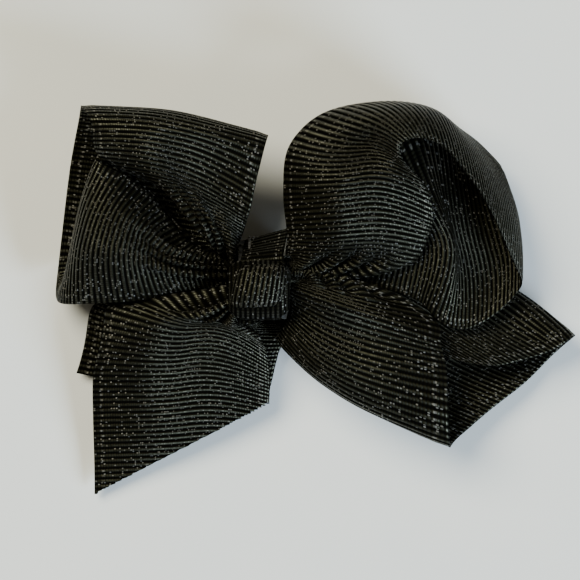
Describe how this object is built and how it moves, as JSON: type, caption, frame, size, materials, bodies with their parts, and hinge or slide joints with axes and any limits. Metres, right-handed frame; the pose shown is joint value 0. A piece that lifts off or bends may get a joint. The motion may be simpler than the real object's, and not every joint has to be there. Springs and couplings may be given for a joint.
{
  "type": "cheer hair bow",
  "caption": "Twisted bow of wide ribbed glitter ribbon with looped ends and cut tails, knotted at the middle onto a sprung hair clip.",
  "frame": {"origin": "on the flat underside of the clip's lower jaw, straight below the knot", "axes": "+X along the clip from its toothed tip to its thumb tabs, +Y to the top of the bow, +Z out of the bow's front"},
  "size_m": [0.1122, 0.0845, 0.0295],
  "materials": {
    "glitter_ribbon": "ribbed ribbon with metallic thread",
    "narrow_ribbon": "ribbed ribbon with metallic thread",
    "lining_ribbon": "plain ribbed ribbon",
    "thread": "twisted thread",
    "glue": "set hot-melt glue",
    "clip_metal": "plated sheet steel",
    "pin_metal": "plated steel",
    "spring_metal": "spring wire"
  },
  "bodies": {
    "bow": {"left_loop": "glitter_ribbon", "right_loop": "glitter_ribbon", "lower_loop": "glitter_ribbon", "front_tail": "glitter_ribbon", "rear_tail": "glitter_ribbon", "gathered_core": "glitter_ribbon", "cinch_thread": "thread", "centre_band": "narrow_ribbon", "centre_knot": "narrow_ribbon", "glue_pad": "glue", "clip_lining": "lining_ribbon", "upper_jaw": "clip_metal", "hinge_pin": "pin_metal", "spring": "spring_metal"},
    "lower_jaw_body": {"lower_jaw": "clip_metal"}
  },
  "joints": [
    {"name": "clip_hinge", "type": "hinge", "parent": "bow", "child": "lower_jaw_body", "pos_m": [0.009, 0, 0.0037], "axis": [0, -1, 0], "range_deg": [0, 30], "stiffness_Nm_per_rad": 0.08, "springref_deg": -34.38, "deforming": ["spring"]}
  ]
}
